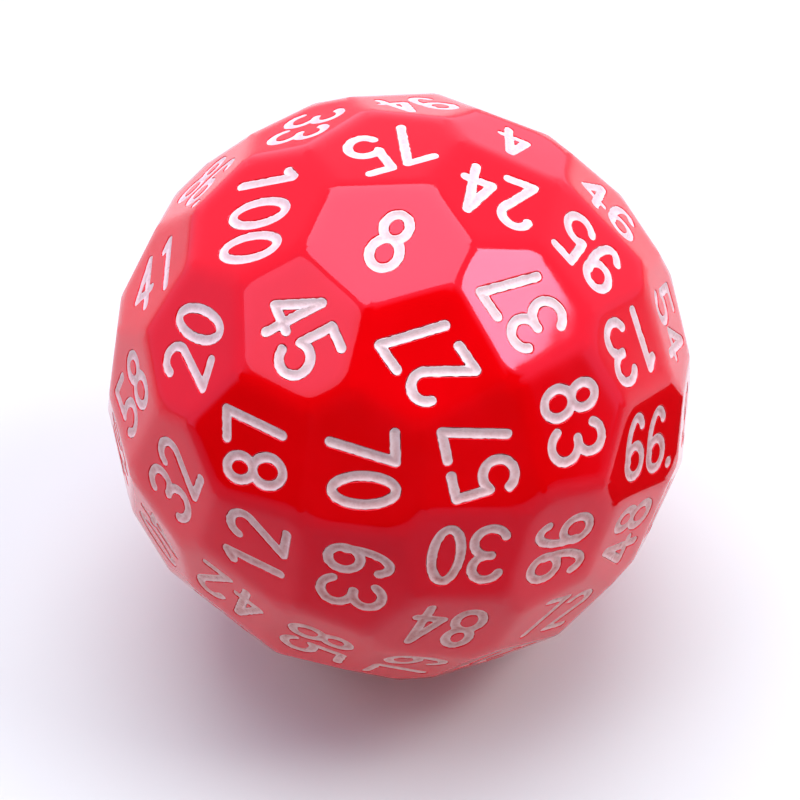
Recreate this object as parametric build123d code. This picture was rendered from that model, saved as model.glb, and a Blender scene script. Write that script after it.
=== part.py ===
from build123d import *
import os
from math import cos, radians, sin

# A hundred-sided die: one solid moulded plastic body with a flat facet for every
# number from 1 to 100, and the numbers cut into the facets and filled with paint.
# Millimetres. The die rests on the facet opposite number 75, with +Z up.
# The origin is at the middle of its footprint, on the surface that it rests on.

# Driving dimensions
FACE_TO_FACE = 45.0
EDGE_RADIUS = 2.0
FIGURE_HEIGHT = 5.1
FIGURE_WIDTH = 2.75
FIGURE_PITCH = 3.0
STROKE_WIDTH = 0.75
ENGRAVING_DEPTH = 0.4
PAINT_RECESS = 0.08
DOT_DIAMETER = 0.9

# How the resting die is turned about the vertical
HEADING = 22.0

# The facets lie in rings of seven around the facet of number 100, and each facet
# has its opposite straight through the centre, whose number makes 101 with its own.
# Ring: angle from the 100 facet, angle of its first facet around the axis,
# reading direction of its numbers from due east, and the numbers in order.
FACETS_PER_RING = 7
OPPOSITE_SUM = 101
CROWN = (0.0, 0.0, 143.0, (100,))
RINGS = (
    CROWN,
    (26.4, 0.0, 90.0, (75, 33, 86, 41, 20, 45, 8)),
    (43.5, 26.6, 78.0, (94, 2, 73, 58, 87, 27, 24)),
    (52.3, -0.7, 63.0, (4, 90, 19, 65, 32, 70, 37)),
    (62.4, 20.0, 63.0, (39, 80, 23, 49, 12, 57, 95)),
    (71.2, -13.3, 234.0, (46, 25, 29, 92, 40, 63, 83)),
    (76.4, 7.1, 142.0, (67, 22, 53, 3, 42, 30, 13)),
    (89.1, 20.8, 48.0, (51, 17, 35, 10, 85, 96, 54)),
)
# Numbers that read the other way round in their ring
TURNED_ROUND = (8, 45, 70, 66, 85, 54)
# Numbers with a dot after them, because upside down they read as another number
DOTTED = (6, 9, 66, 68, 86, 89, 98, 99)

# Worked out from the driving dimensions
INRADIUS = FACE_TO_FACE / 2
HALF_HEIGHT = (FIGURE_HEIGHT - STROKE_WIDTH) / 2
HALF_WIDTH = (FIGURE_WIDTH - STROKE_WIDTH) / 2
PAINT_DEPTH = ENGRAVING_DEPTH - PAINT_RECESS


def facet_frame(colatitude, longitude, reading):
    """Facet plane of the upright die: x along the reading direction, z outward."""
    tilt = radians(colatitude)
    turn = radians(longitude)
    outward = Vector(sin(tilt) * cos(turn), sin(tilt) * sin(turn), cos(tilt))
    north = Vector(-cos(tilt) * cos(turn), -cos(tilt) * sin(turn), sin(tilt))
    east = north.cross(outward)
    along = east * cos(radians(reading)) + north * sin(radians(reading))
    return Plane(origin=outward * INRADIUS, x_dir=along, z_dir=outward)


def facet_planes():
    """The plane of every numbered facet, in the die's resting position."""
    planes = {}
    for colatitude, first, reading, numbers in RINGS:
        for index, number in enumerate(numbers):
            longitude = first + index * 360 / FACETS_PER_RING
            opposite = OPPOSITE_SUM - number
            turned = reading + 180 * (number in TURNED_ROUND)
            turned_opposite = 180 - reading + 180 * (opposite in TURNED_ROUND)
            planes[number] = facet_frame(colatitude, longitude, turned)
            planes[opposite] = facet_frame(180 - colatitude, longitude + 180, turned_opposite)
    lean = Rotation(0, -RINGS[1][0], 0)
    resting = Pos(0, 0, INRADIUS) * Rotation(0, 0, HEADING) * lean
    return {number: Plane(resting * plane.location) for number, plane in planes.items()}


def faceted_solid(planes):
    """The facets set in by the edge radius, then grown back so that edges are round."""
    block = Pos(0, 0, INRADIUS) * Box(*(3 * [2 * FACE_TO_FACE]))
    for plane in planes.values():
        inner = plane.offset(-EDGE_RADIUS)
        block = split(block, bisect_by=inner, keep=Keep.BOTTOM)
    return offset(block, amount=EDGE_RADIUS, kind=Kind.ARC)


def stroke(*edges):
    """Constant-width round-ended pen strokes along the given edges."""
    shape = Sketch()
    for edge in edges:
        shape += trace(edge, line_width=STROKE_WIDTH)
        for end in (edge @ 0, edge @ 1):
            shape += Pos(end.X, end.Y) * Circle(STROKE_WIDTH / 2)
    return shape


def oval(middle, half_width, half_height):
    """A closed oval stroke centred at the given height."""
    margin = STROKE_WIDTH / 2
    outer = Ellipse(half_width + margin, half_height + margin)
    inner = Ellipse(half_width - margin, half_height - margin)
    return Pos(0, middle) * (outer - inner)


def bowl(middle, radius, start, sweep):
    """A part-circle stroke edge centred at the given height, angles in degrees."""
    return CenterArc((0, middle), radius, start, sweep)


def figure_0():
    return oval(0, HALF_WIDTH, HALF_HEIGHT)


def figure_1():
    stem_x = 0.15
    top = (stem_x, HALF_HEIGHT)
    stem = Line(top, (stem_x, -HALF_HEIGHT))
    flag = Line(top, (stem_x - 0.65, HALF_HEIGHT - 0.6))
    return stroke(stem, flag)


def figure_2():
    radius = HALF_WIDTH
    head = bowl(HALF_HEIGHT - radius, radius, 165, -205)
    neck = Line(head @ 1, (-HALF_WIDTH, -HALF_HEIGHT))
    foot = Line(neck @ 1, (HALF_WIDTH, -HALF_HEIGHT))
    return stroke(head, neck, foot)


def figure_3():
    upper_radius = 0.475 * HALF_HEIGHT
    lower_radius = HALF_HEIGHT - upper_radius
    upper = bowl(HALF_HEIGHT - upper_radius, upper_radius, 155, -255)
    lower = bowl(lower_radius - HALF_HEIGHT, lower_radius, 100, -255)
    return stroke(upper, lower)


def figure_4():
    stem_x = 0.4 * HALF_WIDTH
    bar_y = -0.4 * HALF_HEIGHT
    stem = Line((stem_x, HALF_HEIGHT), (stem_x, -HALF_HEIGHT))
    slope = Line((stem_x, HALF_HEIGHT), (-HALF_WIDTH, bar_y))
    bar = Line((-HALF_WIDTH, bar_y), (HALF_WIDTH, bar_y))
    return stroke(stem, slope, bar)


def figure_5():
    radius = 0.52 * HALF_HEIGHT
    bowl_edge = bowl(radius - HALF_HEIGHT, radius, 135, -285)
    corner = (-0.8 * HALF_WIDTH, HALF_HEIGHT)
    back = Line(corner, bowl_edge @ 0)
    bar = Line(corner, (0.85 * HALF_WIDTH, HALF_HEIGHT))
    return stroke(bar, back, bowl_edge)


def figure_6():
    loop_height = 0.52 * HALF_HEIGHT
    loop = oval(loop_height - HALF_HEIGHT, HALF_WIDTH, loop_height)
    tail = EllipticalCenterArc((0, 0), HALF_WIDTH, HALF_HEIGHT, start_angle=45, arc_size=165)
    return loop + stroke(tail)


def figure_7():
    corner = (HALF_WIDTH, HALF_HEIGHT)
    bar = Line((-HALF_WIDTH, HALF_HEIGHT), corner)
    stem = Line(corner, (-0.35 * HALF_WIDTH, -HALF_HEIGHT))
    return stroke(bar, stem)


def figure_8():
    upper_height = 0.465 * HALF_HEIGHT
    lower_height = HALF_HEIGHT - upper_height
    upper = oval(HALF_HEIGHT - upper_height, 0.86 * HALF_WIDTH, upper_height)
    lower = oval(lower_height - HALF_HEIGHT, HALF_WIDTH, lower_height)
    return upper + lower


def figure_9():
    return Rotation(0, 0, 180) * figure_6()


def make_figures():
    """The ten figures, each a flat shape centred on its own cell."""
    makers = (
        figure_0, figure_1, figure_2, figure_3, figure_4,
        figure_5, figure_6, figure_7, figure_8, figure_9,
    )
    return {str(value): maker() for value, maker in enumerate(makers)}


def number_layout(number):
    """The figures of a number and the place of each along the reading direction."""
    text = str(number)
    first = -FIGURE_PITCH * (len(text) - 1) / 2
    return [(figure, first + index * FIGURE_PITCH) for index, figure in enumerate(text)]


def number_pieces(number, plane, shapes, low, high):
    """One solid for each figure of a number, between two heights over its facet."""
    pieces = []
    layout = number_layout(number)
    for figure, along in layout:
        spot = plane * Pos(along, 0, low)
        pieces.append(spot * extrude(shapes[figure], amount=high - low))
    if number in DOTTED:
        beside = layout[-1][1] + (FIGURE_WIDTH + DOT_DIAMETER) / 2 + 0.2
        spot = plane * Pos(beside, DOT_DIAMETER / 2 - FIGURE_HEIGHT / 2, low)
        pieces.append(spot * extrude(Circle(DOT_DIAMETER / 2), amount=high - low))
    return pieces


def engraved_body(planes, shapes):
    """The moulded body with every number cut into its facet."""
    cutters = []
    for number, plane in planes.items():
        cutters += number_pieces(number, plane, shapes, -ENGRAVING_DEPTH, ENGRAVING_DEPTH)
    return faceted_solid(planes) - cutters


def painted_pair(number, planes, shapes):
    """The paint in a number and in its opposite, each figure a solid of its own."""
    pieces = []
    for value in (number, OPPOSITE_SUM - number):
        pieces += number_pieces(value, planes[value], shapes, -ENGRAVING_DEPTH, -PAINT_RECESS)
    return Compound(children=pieces)


def main():
    os.makedirs("parts", exist_ok=True)
    planes = facet_planes()
    shapes = make_figures()
    export_step(engraved_body(planes, shapes), "parts/body.step")
    for number in range(1, OPPOSITE_SUM // 2 + 1):
        name = f"numerals_{number:02d}_{OPPOSITE_SUM - number:02d}"
        export_step(painted_pair(number, planes, shapes), f"parts/{name}.step")


main()
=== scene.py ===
import math

import bpy
import numpy as np
from mathutils import Matrix, Vector
from mathutils.geometry import delaunay_2d_cdt


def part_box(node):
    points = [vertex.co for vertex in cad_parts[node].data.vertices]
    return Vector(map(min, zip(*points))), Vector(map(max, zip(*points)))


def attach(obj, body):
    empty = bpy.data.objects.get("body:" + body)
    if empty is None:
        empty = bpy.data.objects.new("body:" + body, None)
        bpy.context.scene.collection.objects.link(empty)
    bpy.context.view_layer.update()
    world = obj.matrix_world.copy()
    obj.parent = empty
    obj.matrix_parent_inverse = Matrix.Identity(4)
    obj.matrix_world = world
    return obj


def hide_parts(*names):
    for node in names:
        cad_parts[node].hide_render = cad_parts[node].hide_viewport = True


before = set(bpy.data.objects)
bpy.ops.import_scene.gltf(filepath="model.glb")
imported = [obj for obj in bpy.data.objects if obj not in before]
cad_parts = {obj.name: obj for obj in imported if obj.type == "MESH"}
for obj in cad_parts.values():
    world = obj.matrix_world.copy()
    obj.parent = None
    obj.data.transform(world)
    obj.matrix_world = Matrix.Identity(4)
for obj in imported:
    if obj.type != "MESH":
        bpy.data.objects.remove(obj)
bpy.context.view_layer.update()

# The looks of a hundred-sided die. Lengths below are millimetres, as in the CAD
# model, and MM turns them into Blender's metres. The die's centre is half the
# distance between two opposite facets above the surface that it rests on.
MM = 0.001
INRADIUS = (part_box("body")[1].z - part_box("body")[0].z) / 2 / MM
CENTRE = Vector((0, 0, INRADIUS))

# The same driving dimensions as the CAD model
EDGE_RADIUS = 2.0
FIGURE_HEIGHT = 5.1
FIGURE_WIDTH = 2.75
FIGURE_PITCH = 3.0
STROKE_WIDTH = 0.75
ENGRAVING_DEPTH = 0.4
DOT_DIAMETER = 0.9
HEADING = 22.0

# Rings of facets around number 100: angle from it, angle of the first facet
# around the axis, reading direction from due east, and the numbers in order
FACETS_PER_RING = 7
OPPOSITE_SUM = 101
RINGS = (
    (0.0, 0.0, 143.0, (100,)),
    (26.4, 0.0, 90.0, (75, 33, 86, 41, 20, 45, 8)),
    (43.5, 26.6, 78.0, (94, 2, 73, 58, 87, 27, 24)),
    (52.3, -0.7, 63.0, (4, 90, 19, 65, 32, 70, 37)),
    (62.4, 20.0, 63.0, (39, 80, 23, 49, 12, 57, 95)),
    (71.2, -13.3, 234.0, (46, 25, 29, 92, 40, 63, 83)),
    (76.4, 7.1, 142.0, (67, 22, 53, 3, 42, 30, 13)),
    (89.1, 20.8, 48.0, (51, 17, 35, 10, 85, 96, 54)),
)
TURNED_ROUND = (8, 45, 70, 66, 85, 54)
DOTTED = (6, 9, 66, 68, 86, 89, 98, 99)

HALF_STROKE = STROKE_WIDTH / 2
HALF_HEIGHT = (FIGURE_HEIGHT - STROKE_WIDTH) / 2
HALF_WIDTH = (FIGURE_WIDTH - STROKE_WIDTH) / 2

# Profile of the groove: distance from the middle of the pen stroke, and height
# over the facet. The lip is slightly round and the wall nearly upright.
GROOVE = (
    (HALF_STROKE + 0.06, 0.0),
    (HALF_STROKE + 0.03, -0.010),
    (HALF_STROKE, -0.055),
    (HALF_STROKE - 0.03, -ENGRAVING_DEPTH),
)
# Profile of the paint inside its ragged edge, hollow along the middle
PAINT = (
    (HALF_STROKE - 0.09, -0.075),
    (HALF_STROKE - 0.19, -0.130),
    (HALF_STROKE - 0.30, -0.150),
)
# The paint's ragged top edge follows the groove's lip, a little way down the
# wall: its distance, how far it strays, its film over the lip, its lowest
# height and its tilt. PAINT_FLOOR is the distance and height of the underside.
PAINT_EDGE = HALF_STROKE - 0.03
PAINT_RAGGEDNESS = 0.045
PAINT_FILM = 0.008
PAINT_EDGE_LOWEST = -0.06
PAINT_EDGE_TILT = 0.5
PAINT_FLOOR = (HALF_STROKE - 0.08, 0.01 - ENGRAVING_DEPTH)

# Fineness: the grid that a figure's distances are kept on and its margin, the
# spacing of points along grooves and paint edges, grid cells to one swing of
# the paint's edge, and steps across the rounding between two facets
GRID_STEP = 0.06
GRID_MARGIN = 0.25
LOOP_STEP = 0.18
PAINT_LOOP_STEP = 0.1
WOBBLE_CELLS = 4
EDGE_STEPS = 4

# The shading of the rounding between facets fades out over the flats: how far
# in it reaches, the share of the turn left at the flat's edge, the pull towards
# a corner, the spacing of the points that carry it and their least distances
# from a facet's side and from a groove
SOFT_BAND = 0.9
SOFT_SHARE = 0.24
SOFT_CORNER = 0.25
SOFT_STEP = 0.3
SOFT_SIDE_GAP = 0.1
SOFT_GROOVE_GAP = 0.08
# Triangles along a straight side that are smaller than this have no real area
SLIVER_AREA = 1e-4


# ---------------------------------------------------------------- the facets

def facet_axes(colatitude, longitude, reading):
    """Columns: the reading direction, up the figures, and outward."""
    tilt = math.radians(colatitude)
    turn = math.radians(longitude)
    outward = np.array((math.sin(tilt) * math.cos(turn), math.sin(tilt) * math.sin(turn), math.cos(tilt)))
    north = np.array((-math.cos(tilt) * math.cos(turn), -math.cos(tilt) * math.sin(turn), math.sin(tilt)))
    east = np.cross(north, outward)
    along = east * math.cos(math.radians(reading)) + north * math.sin(math.radians(reading))
    return np.stack((along, np.cross(outward, along), outward), 1)


def lay_out_facets():
    """The axes of every numbered facet about the die's centre, in its resting pose."""
    lean = Matrix.Rotation(math.radians(-RINGS[1][0]), 3, "Y")
    resting = np.array(Matrix.Rotation(math.radians(HEADING), 3, "Z") @ lean)
    facets = {}
    for colatitude, first, reading, numbers in RINGS:
        for index, number in enumerate(numbers):
            longitude = first + index * 360 / FACETS_PER_RING
            opposite = OPPOSITE_SUM - number
            turned = reading + 180 * (number in TURNED_ROUND)
            turned_opposite = 180 - reading + 180 * (opposite in TURNED_ROUND)
            facets[number] = resting @ facet_axes(colatitude, longitude, turned)
            facets[opposite] = resting @ facet_axes(180 - colatitude, longitude + 180, turned_opposite)
    return facets


def clip(corners, owners, direction, limit, owner):
    """Cuts a convex outline by a line. Each corner keeps the facet beyond the side that follows it."""
    kept = []
    kept_owners = []
    for index, here in enumerate(corners):
        after = corners[(index + 1) % len(corners)]
        depth_here = direction @ here - limit
        depth_after = direction @ after - limit
        if depth_here <= 0:
            kept.append(here)
            kept_owners.append(owners[index])
        if (depth_here <= 0) != (depth_after <= 0):
            kept.append(here + (after - here) * depth_here / (depth_here - depth_after))
            kept_owners.append(owner if depth_here <= 0 else owners[index])
    return kept, kept_owners


def facet_outline(number, facets, inradius):
    """Corners of one facet in its own plane, and the neighbour across each side."""
    axes = facets[number]
    reach = inradius
    square = ((-reach, -reach), (reach, -reach), (reach, reach), (-reach, reach))
    corners = [np.array(corner, float) for corner in square]
    owners = [None] * 4
    for other, other_axes in facets.items():
        if other == number:
            continue
        outward = other_axes[:, 2]
        direction = np.array((outward @ axes[:, 0], outward @ axes[:, 1]))
        limit = inradius * (1 - outward @ axes[:, 2])
        corners, owners = clip(corners, owners, direction, limit, other)
    return corners, owners


# ------------------------------------------------------------- the figures

def arc(middle, radius_x, radius_y, start, sweep):
    """Points along part of an oval centred on the figure's middle line."""
    count = int(abs(sweep) / 6) + 2
    turn = np.radians(np.linspace(start, start + sweep, count))
    return np.stack((radius_x * np.cos(turn), middle + radius_y * np.sin(turn)), 1)


def figure_strokes(figure):
    """Pen strokes of a figure, each a run of points about the middle of its cell."""
    high = HALF_HEIGHT
    wide = HALF_WIDTH
    if figure == ".":
        middle = (DOT_DIAMETER - FIGURE_HEIGHT) / 2
        reach = (DOT_DIAMETER - STROKE_WIDTH) / 2
        return [arc(middle, reach, reach, 0, 360)]
    if figure == "0":
        return [arc(0, wide, high, 0, 360)]
    if figure == "1":
        return [np.array(((-0.5, high - 0.6), (0.15, high), (0.15, -high)))]
    if figure == "2":
        head = arc(high - wide, wide, wide, 165, -205)
        return [np.vstack((head, ((-wide, -high), (wide, -high))))]
    if figure == "3":
        upper = 0.475 * high
        lower = high - upper
        return [arc(high - upper, upper, upper, 155, -255), arc(lower - high, lower, lower, 100, -255)]
    if figure == "4":
        stem = 0.4 * wide
        bar = -0.4 * high
        return [np.array(((stem, -high), (stem, high), (-wide, bar), (wide, bar)))]
    if figure == "5":
        radius = 0.52 * high
        bowl = arc(radius - high, radius, radius, 135, -285)
        return [np.vstack((((0.85 * wide, high), (-0.8 * wide, high)), bowl))]
    if figure == "6":
        loop = 0.52 * high
        return [arc(loop - high, wide, loop, 0, 360), arc(0, wide, high, 45, 165)]
    if figure == "7":
        return [np.array(((-wide, high), (wide, high), (-0.35 * wide, -high)))]
    if figure == "8":
        upper = 0.465 * high
        lower = high - upper
        return [arc(high - upper, 0.86 * wide, upper, 0, 360), arc(lower - high, wide, lower, 0, 360)]
    return [-stroke for stroke in figure_strokes("6")]


class Figure:
    """A figure as a field of distances from the middle of its pen strokes."""

    def __init__(self, name):
        strokes = figure_strokes(name)
        self.kept = {}
        self.starts = np.vstack([stroke[:-1] for stroke in strokes])
        self.ends = np.vstack([stroke[1:] for stroke in strokes])
        reach = HALF_STROKE + GRID_MARGIN
        low = np.minimum(self.starts, self.ends).min(0) - reach
        high = np.maximum(self.starts, self.ends).max(0) + reach
        self.xs = np.arange(low[0], high[0] + GRID_STEP, GRID_STEP)
        self.ys = np.arange(low[1], high[1] + GRID_STEP, GRID_STEP)
        grid = np.stack(np.meshgrid(self.xs, self.ys), -1)
        self.field = self.nearest(grid.reshape(-1, 2))[0].reshape(grid.shape[:2])

    def nearest(self, points):
        """Distance from the strokes at each point, and the direction away from them."""
        run = self.ends - self.starts
        length = np.maximum((run * run).sum(1), 1e-12)
        offset = points[:, None, :] - self.starts[None]
        share = np.clip((offset * run).sum(2) / length, 0, 1)
        away = offset - share[..., None] * run
        distance = np.sqrt((away * away).sum(2))
        best = distance.argmin(1)
        rows = np.arange(len(points))
        shortest = distance[rows, best]
        return shortest, away[rows, best] / np.maximum(shortest, 1e-9)[:, None]

    def loops(self, level, uneven=0.0, step=LOOP_STEP):
        """Closed lines at one distance from the strokes, give or take an unevenness."""
        field = self.field + uneven - level
        return [even_spacing(loop, step) for loop in trace_level(field, self.xs, self.ys)]

    def even_loops(self, level):
        """Closed lines at exactly one distance from the strokes, kept for reuse."""
        if level not in self.kept:
            self.kept[level] = self.loops(level)
        return self.kept[level]


def crossing(field, xs, ys, a, b):
    """Where the field changes sign between two neighbouring grid points."""
    share = field[a] / (field[a] - field[b])
    start = np.array((xs[a[1]], ys[a[0]]))
    return start + share * (np.array((xs[b[1]], ys[b[0]])) - start)


def trace_level(field, xs, ys):
    """The closed lines where a grid of values is zero, by marching squares."""
    inside = field < 0
    rows, columns = np.nonzero(
        (inside[:-1, :-1] != inside[1:, 1:])
        | (inside[:-1, 1:] != inside[1:, :-1])
        | (inside[:-1, :-1] != inside[:-1, 1:])
    )
    follows = {}
    for row, column in zip(rows, columns):
        ring = ((row, column), (row, column + 1), (row + 1, column + 1), (row + 1, column))
        leaving = []
        entering = []
        for a, b in zip(ring, ring[1:] + ring[:1]):
            if inside[a] and not inside[b]:
                leaving.append((min(a, b), max(a, b)))
            if inside[b] and not inside[a]:
                entering.append((min(a, b), max(a, b)))
        # A saddle square has two of each, and joins each to the one beside it
        for out_edge, in_edge in zip(leaving, entering[::-1]):
            follows[in_edge] = out_edge
    loops = []
    while follows:
        first, edge = follows.popitem()
        loop = [first]
        while edge != first:
            loop.append(edge)
            edge = follows.pop(edge)
        loops.append(np.array([crossing(field, xs, ys, a, b) for a, b in loop]))
    return loops


def even_spacing(loop, step):
    """The same closed line with its points evenly spaced."""
    closed = np.vstack((loop, loop[:1]))
    lengths = np.hypot(*np.diff(closed, axis=0).T)
    along = np.concatenate(((0,), np.cumsum(lengths)))
    count = max(8, int(along[-1] / step))
    places = np.linspace(0, along[-1], count, endpoint=False)
    return np.stack([np.interp(places, along, closed[:, axis]) for axis in (0, 1)], 1)


def number_layout(number):
    """The figures of a number and the place of each along the reading direction."""
    text = str(number)
    first = -FIGURE_PITCH * (len(text) - 1) / 2
    layout = [(figure, first + index * FIGURE_PITCH) for index, figure in enumerate(text)]
    if number in DOTTED:
        layout.append((".", layout[-1][1] + (FIGURE_WIDTH + DOT_DIAMETER) / 2 + 0.2))
    return layout


# ------------------------------------------------------------ mesh building

class Surface:
    """Points with their own normals, shared where they meet, and faces."""

    def __init__(self):
        self.points = []
        self.normals = []
        self.faces = []
        self.hollows = []
        self.places = {}

    def point(self, place, normal, hollow=0.0):
        """The point at a place, made once. The first normal given there is kept."""
        key = tuple(np.round(place, 4))
        if key not in self.places:
            self.places[key] = len(self.points)
            self.points.append(place)
            self.normals.append(normal / np.linalg.norm(normal))
            self.hollows.append(hollow)
        return self.places[key]

    def face(self, *corners):
        """A face, unless points that coincide leave it without an area."""
        distinct = [c for i, c in enumerate(corners) if c != corners[i - 1]]
        if len(set(distinct)) > 2:
            self.faces.append(distinct)

    def build(self, name, material):
        """The finished object, in metres and in its place on the table."""
        mesh = bpy.data.meshes.new(name)
        placed = (np.array(self.points) + np.array(CENTRE)) * MM
        mesh.from_pydata(placed.tolist(), [], self.faces)
        mesh.shade_smooth()
        mesh.normals_split_custom_set_from_vertices(np.array(self.normals).tolist())
        if any(self.hollows):
            mesh.attributes.new("hollow", "FLOAT", "POINT").data.foreach_set("value", self.hollows)
        mesh.materials.append(material)
        piece = bpy.data.objects.new(name, mesh)
        bpy.context.scene.collection.objects.link(piece)
        return piece


def triangulate(loops, loose=np.zeros((0, 2))):
    """Triangles over the convex area that holds all the loops, keeping their sides."""
    points = np.vstack(loops + [loose])
    sides = []
    first = 0
    for loop in loops:
        count = len(loop)
        sides += [(first + i, first + (i + 1) % count) for i in range(count)]
        first += count
    flat, _, triangles, origins, _, _ = delaunay_2d_cdt(
        [Vector(p) for p in points], sides, [], 0, 1e-5)
    origins = [o[0] if o else None for o in origins]
    exact = [tuple(p) if o is None else points[o] for p, o in zip(flat, origins)]
    return np.array(exact), triangles, origins


def triangle_area(a, b, c):
    """Area of a flat triangle."""
    return abs((b[0] - a[0]) * (c[1] - a[1]) - (b[1] - a[1]) * (c[0] - a[0])) / 2


def turned_between(start, end, share):
    """The direction part of the way round from one unit vector to another."""
    angle = math.acos(min(1.0, start @ end))
    return (math.sin((1 - share) * angle) * start + math.sin(share * angle) * end) / math.sin(angle)


def profile_slope(profile, level):
    """Rise per unit of distance at one line of a profile."""
    before = profile[max(level - 1, 0)]
    after = profile[min(level + 1, len(profile) - 1)]
    return (after[1] - before[1]) / (after[0] - before[0])


def divided_side(start, end):
    """Points along one side of a facet, both ends included."""
    count = max(1, round(math.dist(start, end) / SOFT_STEP))
    return [start + (end - start) * (i / count) for i in range(count + 1)]


def soft_tilts(places, corners, turns):
    """Tilt of the surface near the sides of a facet, towards the facets across them."""
    tilts = np.zeros((len(places), 2))
    for start, end, turn in zip(corners, corners[1:] + corners[:1], turns):
        along = (np.array(end) - start) / math.dist(start, end)
        outward = np.array((along[1], -along[0]))
        inside = (places - np.array(start)) @ -outward
        fade = np.clip(1 - inside / SOFT_BAND, 0, 1) ** 2
        tilts += fade[:, None] * math.tan(SOFT_SHARE * turn) * outward
    return tilts


def soft_points(corners, fields):
    """Loose points in the band near the sides, clear of the grooves."""
    low = np.min(corners, 0)
    high = np.max(corners, 0)
    xs = np.arange(low[0], high[0], SOFT_STEP)
    ys = np.arange(low[1], high[1], SOFT_STEP)
    grid = np.array([(x, y) for x in xs for y in ys])
    inside = np.full(len(grid), np.inf)
    for start, end in zip(corners, corners[1:] + corners[:1]):
        along = (np.array(end) - start) / math.dist(start, end)
        inside = np.minimum(inside, (grid - np.array(start)) @ (-along[1], along[0]))
    clear = np.full(len(grid), True)
    for figure, shift in fields:
        clear &= figure.nearest(grid - (shift, 0))[0] > GROOVE[0][0] + SOFT_GROOVE_GAP
    return grid[(inside > SOFT_SIDE_GAP) & (inside < SOFT_BAND + SOFT_STEP) & clear]


def engrave_facet(surface, facets, outline, number, figures):
    """A flat facet with its number's grooves, down to their floors."""
    axes = facets[number]
    corners, owners = outline
    turns = [math.acos(axes[:, 2] @ facets[owner][:, 2]) for owner in owners]
    rim = []
    for start, end in zip(corners, corners[1:] + corners[:1]):
        rim += divided_side(start, end)[:-1]
    loops = [np.array(rim)]
    heights = [np.zeros(len(rim))]
    tilts = [np.zeros((len(rim), 2))]
    for name, along in number_layout(number):
        figure = figures[name]
        for level, (distance, height) in enumerate(GROOVE):
            slope = profile_slope(GROOVE, level) if 0 < level < len(GROOVE) - 1 else 0.0
            for loop in figure.even_loops(distance):
                loops.append(loop + (along, 0))
                heights.append(np.full(len(loop), height))
                tilts.append(-slope * figure.nearest(loop)[1])
    loose = soft_points(corners, [(figures[name], along) for name, along in number_layout(number)])
    heights = np.concatenate(heights + [np.zeros(len(loose))])
    tilts = np.vstack(tilts + [np.zeros((len(loose), 2))])
    tilts += soft_tilts(np.vstack(loops + [loose]), corners, turns)
    flat, triangles, origins = triangulate(loops, loose)
    ids = []
    for place, origin in zip(flat, origins):
        height = heights[origin] if origin is not None else 0.0
        tilt = tilts[origin] if origin is not None else (0.0, 0.0)
        spot = axes @ (place[0], place[1], INRADIUS + height)
        ids.append(surface.point(spot, axes @ (tilt[0], tilt[1], 1.0)))
    for triangle in triangles:
        on_rim = all(origins[i] is not None and origins[i] < len(rim) for i in triangle)
        if not (on_rim and triangle_area(*(flat[i] for i in triangle)) < SLIVER_AREA):
            surface.face(*(ids[i] for i in triangle))


def round_edges(surface, facets, outlines):
    """Round strips along the sides between facets, and a round cap at each corner."""
    inner = INRADIUS - EDGE_RADIUS
    corner_facets = {}
    for number, (corners, owners) in outlines.items():
        axes = facets[number]
        count = len(corners)
        for index in range(count):
            side = divided_side(corners[index], corners[(index + 1) % count])
            ends = [axes @ (p[0], p[1], inner) for p in side]
            across = owners[index]
            key = tuple(np.round(ends[0], 3))
            corner_facets.setdefault(key, (ends[0], []))[1].append((number, across))
            if number > across:
                continue
            rails = []
            for end in ends:
                toward = facets[across][:, 2]
                corner = min(ends[0], ends[-1], key=lambda c: math.dist(c, end))
                pull = SOFT_CORNER * max(0.0, 1 - math.dist(corner, end) / SOFT_BAND) ** 2
                rail = []
                for step in range(EDGE_STEPS + 1):
                    share = step / EDGE_STEPS
                    place = end + EDGE_RADIUS * turned_between(axes[:, 2], toward, share)
                    softer = SOFT_SHARE + (1 - 2 * SOFT_SHARE) * share
                    outward = corner / np.linalg.norm(corner)
                    facing = (1 - pull) * turned_between(axes[:, 2], toward, softer) + pull * outward
                    rail.append(surface.point(place, facing))
                rails.append(rail)
            for rail, following in zip(rails, rails[1:]):
                for step in range(EDGE_STEPS):
                    surface.face(rail[step], rail[step + 1], following[step + 1], following[step])
    return corner_facets


def cap_corners(surface, facets, corner_facets):
    """A fan over the small round cap where three or more facets meet."""
    for place, meeting in corner_facets.values():
        following = dict(meeting)
        order = [meeting[0][0]]
        while following[order[-1]] != order[0]:
            order.append(following[order[-1]])
        normals = [facets[n][:, 2] for n in order]
        rim = []
        for start, end in zip(normals, normals[1:] + normals[:1]):
            rim += [turned_between(start, end, s / EDGE_STEPS) for s in range(EDGE_STEPS)]
        middle = sum(normals) / np.linalg.norm(sum(normals))
        hub = surface.point(place + EDGE_RADIUS * middle, middle)
        ids = [surface.point(place + EDGE_RADIUS * n, n) for n in rim]
        for a, b in zip(ids, ids[1:] + ids[:1]):
            surface.face(hub, b, a)


def make_body(facets, figures, material):
    """The moulded body: flat facets, round edges and engraved numbers."""
    surface = Surface()
    outlines = {n: facet_outline(n, facets, INRADIUS - EDGE_RADIUS) for n in facets}
    for number, outline in outlines.items():
        engrave_facet(surface, facets, outline, number, figures)
    corner_facets = round_edges(surface, facets, outlines)
    cap_corners(surface, facets, corner_facets)
    return surface.build("die_body", material)


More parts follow.
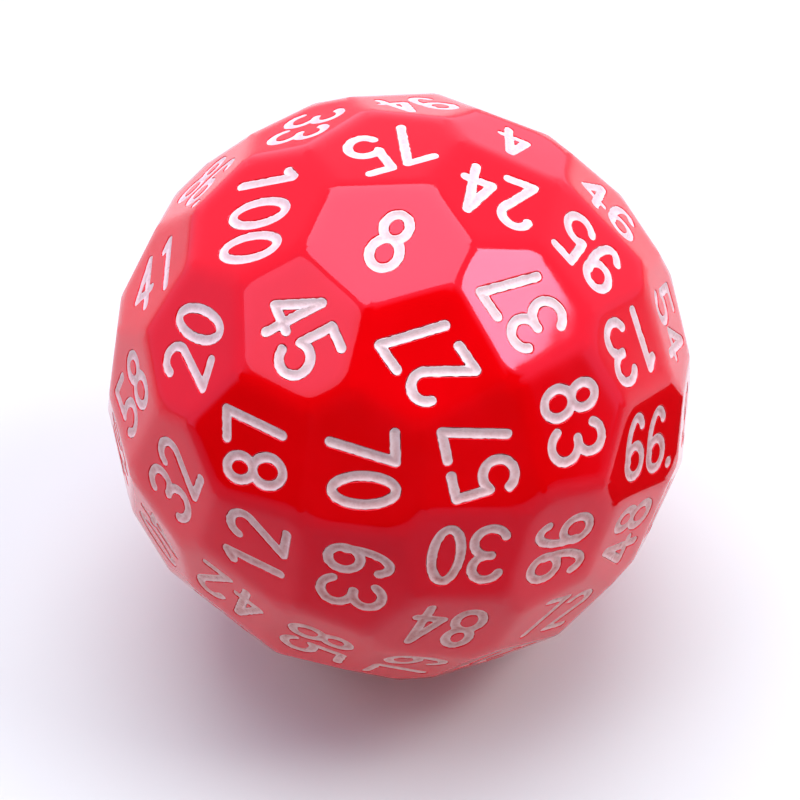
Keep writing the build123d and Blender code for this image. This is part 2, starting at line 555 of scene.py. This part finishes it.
def wobble(figure, random):
    """Smooth random unevenness over a figure's grid, about -1 to 1."""
    rows, columns = figure.field.shape
    coarse = random.uniform(-1, 1, (rows // WOBBLE_CELLS + 2, columns // WOBBLE_CELLS + 2))
    row = np.arange(rows) / WOBBLE_CELLS
    column = np.arange(columns) / WOBBLE_CELLS
    r = row.astype(int)
    c = column.astype(int)
    down = (row - r)[:, None]
    across = (column - c)[None]
    top = coarse[r][:, c] * (1 - across) + coarse[r][:, c + 1] * across
    bottom = coarse[r + 1][:, c] * (1 - across) + coarse[r + 1][:, c + 1] * across
    return top * (1 - down) + bottom * down


def holds(loops, points):
    """Whether each point is inside an odd number of the closed lines."""
    inside = np.zeros(len(points), bool)
    for loop in loops:
        after = np.roll(loop, -1, 0)
        above = loop[None, :, 1] > points[:, None, 1]
        crosses = above != (after[None, :, 1] > points[:, None, 1])
        rise = after[:, 1] - loop[:, 1]
        rise = np.where(rise == 0, 1e-12, rise)
        at = loop[None, :, 0] + (points[:, None, 1] - loop[None, :, 1]) * (after[:, 0] - loop[:, 0]) / rise
        inside ^= (crosses & (at > points[:, None, 0])).sum(1) % 2 == 1
    return inside


def fill_paint(surface, axes, along, figure, random):
    """One figure's paint: a ragged edge by the lip, a hollow top and a flat underside."""
    uneven = wobble(figure, random) * PAINT_RAGGEDNESS
    edges = figure.loops(PAINT_EDGE, uneven, PAINT_LOOP_STEP)
    distances, heights = zip(*GROOVE[::-1])
    loops = []
    levels = []
    hollows = []
    tilts = []
    for loop in edges:
        distance, away = figure.nearest(loop)
        hollows.append(np.zeros(len(loop)))
        lip = np.maximum(np.interp(distance, distances, heights), PAINT_EDGE_LOWEST)
        loops.append(loop)
        levels.append(lip + PAINT_FILM)
        tilts.append(PAINT_EDGE_TILT * away)
    for level, (distance, height) in enumerate(PAINT):
        slope = profile_slope(PAINT, level)
        for loop in figure.even_loops(distance):
            loops.append(loop)
            levels.append(np.full(len(loop), height))
            # How far each line lies into the hollow middle of the stroke; the paint's material turns it
            # into painted shade
            hollows.append(np.full(len(loop), (level + 1) / len(PAINT)))
            tilts.append(-slope * figure.nearest(loop)[1])
    levels = np.concatenate(levels)
    hollows = np.concatenate(hollows)
    tilts = np.vstack(tilts)

    def top(place, origin):
        height = levels[origin] if origin is not None else PAINT[-1][1]
        tilt = tilts[origin] if origin is not None else (0.0, 0.0)
        hollow = hollows[origin] if origin is not None else 1.0
        spot = axes @ (place[0] + along, place[1], INRADIUS + height)
        return surface.point(spot, axes @ (tilt[0], tilt[1], 1.0), hollow)

    def underside(place, origin):
        return surface.point(axes @ (place[0] + along, place[1], INRADIUS + PAINT_FLOOR[1]), -axes[:, 2])

    fill_between(surface, loops, edges, top, False)
    feet = []
    for loop in edges:
        distance, away = figure.nearest(loop)
        feet.append(loop - away * (distance - PAINT_FLOOR[0])[:, None])
    fill_between(surface, feet, feet, underside, True)
    first = 0
    for loop, foot in zip(edges, feet):
        rim = [top(p, first + i) for i, p in enumerate(loop)]
        base = [underside(p, None) for p in foot]
        first += len(loop)
        for i in range(len(loop)):
            surface.face(rim[i], base[i], base[i - 1], rim[i - 1])


def fill_between(surface, loops, edges, place_point, downward):
    """Triangles inside the edges, with every loop's sides kept."""
    flat, triangles, origins = triangulate(loops)
    middles = np.array([flat[list(t)].mean(0) for t in triangles])
    for triangle, inside in zip(triangles, holds(edges, middles)):
        if inside:
            ids = [place_point(flat[i], origins[i]) for i in triangle]
            surface.face(*(ids[::-1] if downward else ids))


def make_paint(facets, figures, material):
    """The paint in each pair of opposite numbers, one piece for a pair."""
    pieces = {}
    for low in range(1, OPPOSITE_SUM // 2 + 1):
        high = OPPOSITE_SUM - low
        random = np.random.RandomState(low)
        surface = Surface()
        for number in (low, high):
            for name, along in number_layout(number):
                fill_paint(surface, facets[number], along, figures[name], random)
        pair = f"{low:02d}_{high:02d}"
        pieces[pair] = surface.build("paint_" + pair, material)
    return pieces


# ---------------------------------------------------------------- materials

class Shader:
    """Short names for making one material's nodes."""

    def __init__(self, name):
        self.material = bpy.data.materials.new(name)
        self.material.use_nodes = True
        self.tree = self.material.node_tree
        self.surface = self.tree.nodes["Principled BSDF"]
        self.place = self.node("ShaderNodeTexCoord").outputs["Object"]

    def node(self, kind, **values):
        """A new node with some of its settings."""
        made = self.tree.nodes.new(kind)
        for name, value in values.items():
            setattr(made, name, value)
        return made

    def link(self, output, socket):
        """Feeds an output into a socket."""
        self.tree.links.new(output, socket)

    def noise(self, size, detail=2.0, roughness=0.5):
        """Noise whose blotches are about this many millimetres across."""
        texture = self.node("ShaderNodeTexNoise")
        texture.inputs["Scale"].default_value = 1 / (size * MM)
        texture.inputs["Detail"].default_value = detail
        texture.inputs["Roughness"].default_value = roughness
        self.link(self.place, texture.inputs["Vector"])
        return texture.outputs["Fac"]

    def between(self, factor, low, high, start=0.3, end=0.7):
        """Values from low to high as the factor goes from start to end."""
        scale = self.node("ShaderNodeMapRange")
        for name, value in (("From Min", start), ("From Max", end), ("To Min", low), ("To Max", high)):
            scale.inputs[name].default_value = value
        self.link(factor, scale.inputs["Value"])
        return scale.outputs["Result"]

    def product(self, first, second):
        """Two outputs multiplied."""
        times = self.node("ShaderNodeMath", operation="MULTIPLY")
        self.link(first, times.inputs[0])
        self.link(second, times.inputs[1])
        return times.outputs[0]

    def blend(self, factor, first, second):
        """A colour between two, by a factor. Either may come from other nodes."""
        mix = self.node("ShaderNodeMix", data_type="RGBA")
        for socket, colour in ((mix.inputs[6], first), (mix.inputs[7], second)):
            if isinstance(colour, tuple):
                socket.default_value = (*colour, 1)
            else:
                self.link(colour, socket)
        self.link(factor, mix.inputs[0])
        return mix.outputs[2]

    def bump(self, heights):
        """Bumps from (height output, depth in millimetres) pairs, chained."""
        before = None
        for height, depth in heights:
            bump = self.node("ShaderNodeBump")
            bump.inputs["Distance"].default_value = depth * MM
            self.link(height, bump.inputs["Height"])
            if before:
                self.link(before, bump.inputs["Normal"])
            before = bump.outputs["Normal"]
        self.link(before, self.surface.inputs["Normal"])

    def uniform(self, **values):
        """Values that are the same all over, with _ for the spaces in their names."""
        for name, value in values.items():
            self.surface.inputs[name.replace("_", " ")].default_value = value


def red_plastic():
    """Glossy opaque red moulding, faintly mottled, with slightly wavy facets."""
    shader = Shader("red_plastic")
    mottle = shader.between(shader.noise(4.0, 3.0), 0, 1)
    colour = shader.blend(mottle, (0.86, 0.0005, 0.003), (0.80, 0.0005, 0.002))
    shader.link(colour, shader.surface.inputs["Base Color"])
    haze = shader.between(shader.noise(1.6, 4.0), 0.05, 0.10)
    shader.link(haze, shader.surface.inputs["Roughness"])
    shader.bump(((shader.noise(6.0, 1.0), 0.05), (shader.noise(0.25, 2.0), 0.0006)))
    shader.uniform(IOR=1.5, Specular_Tint=(1.0, 0.66, 1.0, 1.0))
    return shader.material


def white_paint():
    """Glossy white enamel. Darker and redder in the hollow middle of each stroke, broken up by random
    patches: painted shade. Pinker and duller lower down the die: painted shade and painted red bounce
    light.
    """
    shader = Shader("white_paint")
    hollow = shader.node("ShaderNodeAttribute", attribute_name="hollow").outputs["Fac"]
    height = shader.node("ShaderNodeSeparateXYZ")
    shader.link(shader.place, height.inputs[0])
    # Painted shade and painted red bounce light: pinker and duller from the top of the die down to about
    # its middle, in metres
    low = shader.between(height.outputs["Z"], 1, 0, 0.022, 0.038)
    patchy = shader.between(shader.noise(0.55, 4.0, 0.65), 0.45, 1.0, 0.35, 0.65)
    # Painted shade in the hollow middle of each stroke, broken up by random patches
    painted_shade_in_hollows = shader.product(hollow, patchy)
    # The rim is the paint's own white near the top, and pinker lower down as painted shade and red bounce
    # light
    rim = shader.blend(low, (0.93, 0.82, 0.81), (0.98, 0.70, 0.66))
    # Painted shade for the hollow middle of the strokes, darker and redder still lower down
    painted_shade_core = shader.blend(low, (0.76, 0.57, 0.55), (0.60, 0.20, 0.17))
    colour = shader.blend(painted_shade_in_hollows, rim, painted_shade_core)
    shader.link(colour, shader.surface.inputs["Base Color"])
    haze = shader.between(shader.noise(0.4, 3.0), 0.22, 0.45)
    shader.link(haze, shader.surface.inputs["Roughness"])
    shader.bump(((shader.noise(0.22, 3.0), 0.03),))
    shader.uniform(IOR=1.48)
    return shader.material


def floor_paper():
    """Matt white paper with a barely uneven tone, and painted shade: the floor turns dark grey in front of
    the die, just outside the camera's frame, which darkens the die's reflections.
    """
    shader = Shader("floor_paper")
    tone = shader.between(shader.noise(90.0, 2.0), 0, 1)
    paper = shader.blend(tone, (0.74, 0.83, 0.76), (0.72, 0.81, 0.75))
    depth = shader.node("ShaderNodeSeparateXYZ")
    shader.link(shader.place, depth.inputs[0])
    # Painted shade: the paper darkens to dark grey from 28 to 55 mm in front of the die's middle
    before = shader.between(depth.outputs["Y"], 1, 0, -0.055, -0.028)
    colour = shader.blend(before, paper, (0.30, 0.27, 0.30))
    shader.link(colour, shader.surface.inputs["Base Color"])
    shader.uniform(Roughness=0.75)
    return shader.material


# ------------------------------------------------- floor, lights and camera

def make_floor():
    """A wide round sheet of paper under the die."""
    segments = 96
    turn = np.linspace(0, 2 * math.pi, segments, endpoint=False)
    rings = (0.15, 0.5, 1.2, 3.0)
    points = [(0.0, 0.0, 0.0)]
    faces = []
    for level, radius in enumerate(rings):
        points += [(radius * math.cos(t), radius * math.sin(t), 0.0) for t in turn]
        outer = 1 + level * segments
        inner = outer - segments
        for i in range(segments):
            j = (i + 1) % segments
            if level == 0:
                faces.append((0, outer + i, outer + j))
            else:
                faces.append((inner + i, outer + i, outer + j, inner + j))
    mesh = bpy.data.meshes.new("floor")
    mesh.from_pydata(points, [], faces)
    mesh.materials.append(floor_paper())
    floor = bpy.data.objects.new("floor", mesh)
    bpy.context.scene.collection.objects.link(floor)


def make_dark_card():
    """Painted shade: a small black sheet flat on the floor at the right, outside the camera's frame, that
    darkens the die's reflections of the floor there.
    """
    shader = Shader("black_painted_shade")
    # Near-black, slightly uneven tone of the painted shade sheet
    tone = shader.between(shader.noise(5.0, 2.0), 0, 1)
    colour = shader.blend(tone, (0.010, 0.010, 0.011), (0.014, 0.013, 0.014))
    shader.link(colour, shader.surface.inputs["Base Color"])
    shader.uniform(Roughness=0.9, Specular_IOR_Level=0.1)
    left = 0.048
    right = 0.095
    front = -0.026
    back = 0.018
    height = 0.0005
    points = ((left, front, height), (right, front, height), (right, back, height), (left, back, height))
    mesh = bpy.data.meshes.new("painted_shade_sheet")
    mesh.from_pydata(points, [], [(0, 1, 2, 3)])
    mesh.materials.append(shader.material)
    card = bpy.data.objects.new("painted_shade_sheet", mesh)
    bpy.context.scene.collection.objects.link(card)


def direction(azimuth, elevation):
    """Unit vector from the die: azimuth 0 is the camera's side, 90 its right."""
    a = math.radians(azimuth)
    e = math.radians(elevation)
    return Vector((math.sin(a) * math.cos(e), -math.cos(a) * math.cos(e), math.sin(e)))


def softbox(name, azimuth, elevation, distance, width, height, brightness, colour, reflected=True):
    """A soft panel light that faces the die. Brightness is set per area, lengths are metres."""
    light = bpy.data.lights.new(name, "AREA")
    light.shape = "RECTANGLE"
    light.size = width
    light.size_y = height
    light.energy = brightness * math.pi * width * height
    light.color = colour
    lamp = bpy.data.objects.new(name, light)
    lamp.visible_glossy = reflected
    away = direction(azimuth, elevation)
    lamp.location = CENTRE * MM + away * distance
    lamp.rotation_euler = away.to_track_quat("Z", "Y").to_euler()
    bpy.context.scene.collection.objects.link(lamp)


def studio_walls():
    """Pale walls, brighter opposite the camera and dark on its side. Seen directly they are white."""
    world = bpy.data.worlds.new("studio")
    world.use_nodes = True
    bpy.context.scene.world = world
    nodes = world.node_tree.nodes
    links = world.node_tree.links
    background = nodes["Background"]
    sky = nodes.new("ShaderNodeTexCoord")
    facing = nodes.new("ShaderNodeVectorMath")
    facing.operation = "DOT_PRODUCT"
    facing.inputs[1].default_value = direction(0, 0)
    # The dark part starts where a direction points this far towards the camera's side
    dark = nodes.new("ShaderNodeMapRange")
    dark.interpolation_type = "SMOOTHSTEP"
    dark.inputs["From Min"].default_value = 0.24
    dark.inputs["From Max"].default_value = 0.42
    walls = nodes.new("ShaderNodeMix")
    walls.data_type = "RGBA"
    walls.inputs[7].default_value = (0.004, 0.004, 0.005, 1)
    # The brighter part is straight away from the camera's side
    behind = nodes.new("ShaderNodeMapRange")
    behind.inputs["From Min"].default_value = -0.75
    behind.inputs["From Max"].default_value = -0.98
    around = nodes.new("ShaderNodeMix")
    around.data_type = "RGBA"
    around.inputs[6].default_value = (0.75, 0.63, 0.96, 1)
    around.inputs[7].default_value = (1.10, 0.95, 1.30, 1)
    seen = nodes.new("ShaderNodeLightPath")
    shown = nodes.new("ShaderNodeMix")
    shown.data_type = "RGBA"
    shown.inputs[7].default_value = (1, 1, 1, 1)
    links.new(sky.outputs["Generated"], facing.inputs[0])
    links.new(facing.outputs["Value"], dark.inputs["Value"])
    links.new(facing.outputs["Value"], behind.inputs["Value"])
    links.new(behind.outputs["Result"], around.inputs[0])
    links.new(around.outputs[2], walls.inputs[6])
    links.new(dark.outputs["Result"], walls.inputs[0])
    links.new(walls.outputs[2], shown.inputs[6])
    links.new(seen.outputs["Is Camera Ray"], shown.inputs[0])
    links.new(shown.outputs[2], background.inputs["Color"])


def make_lights():
    studio_walls()
    softbox("top_softbox", 180, 80, 0.50, 0.42, 0.42, 3.6, (1.0, 0.97, 1.0))
    softbox("right_softbox", 81, 49, 0.40, 0.14, 0.11, 10.0, (1.0, 0.97, 1.0))
    softbox("left_softbox", -64, 50, 0.45, 0.18, 0.14, 1.6, (1.0, 0.96, 1.0))
    softbox("front_fill", 0, 20, 0.60, 0.90, 0.40, 0.68, (1.0, 1.0, 1.0), reflected=False)


def make_camera():
    """The viewpoint: looking down on the die from close by."""
    elevation = 42.0
    roll = math.radians(-2.5)
    distance = 5.84 * INRADIUS * MM
    camera = bpy.data.cameras.new("camera")
    camera.sensor_width = 36.0
    camera.lens = 74.3
    camera.shift_x = 0.0008
    camera.shift_y = -0.0178
    camera.clip_start = 0.005
    seat = bpy.data.objects.new("camera", camera)
    away = direction(0, elevation)
    right = Vector((1, 0, 0))
    up = away.cross(right)
    rolled_right = math.cos(roll) * right + math.sin(roll) * up
    rolled_up = away.cross(rolled_right)
    turned = Matrix((rolled_right, rolled_up, away)).transposed().to_4x4()
    seat.matrix_world = Matrix.Translation(CENTRE * MM + away * distance) @ turned
    bpy.context.scene.collection.objects.link(seat)
    bpy.context.scene.camera = seat


def main():
    bpy.context.scene.view_settings.view_transform = "Standard"
    make_camera()
    make_lights()
    make_floor()
    make_dark_card()
    facets = lay_out_facets()
    figures = {name: Figure(name) for name in "0123456789."}
    body = make_body(facets, figures, red_plastic())
    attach(body, "root")
    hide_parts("body")
    for pair, paint in make_paint(facets, figures, white_paint()).items():
        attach(paint, "root")
        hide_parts("numerals_" + pair)


main()
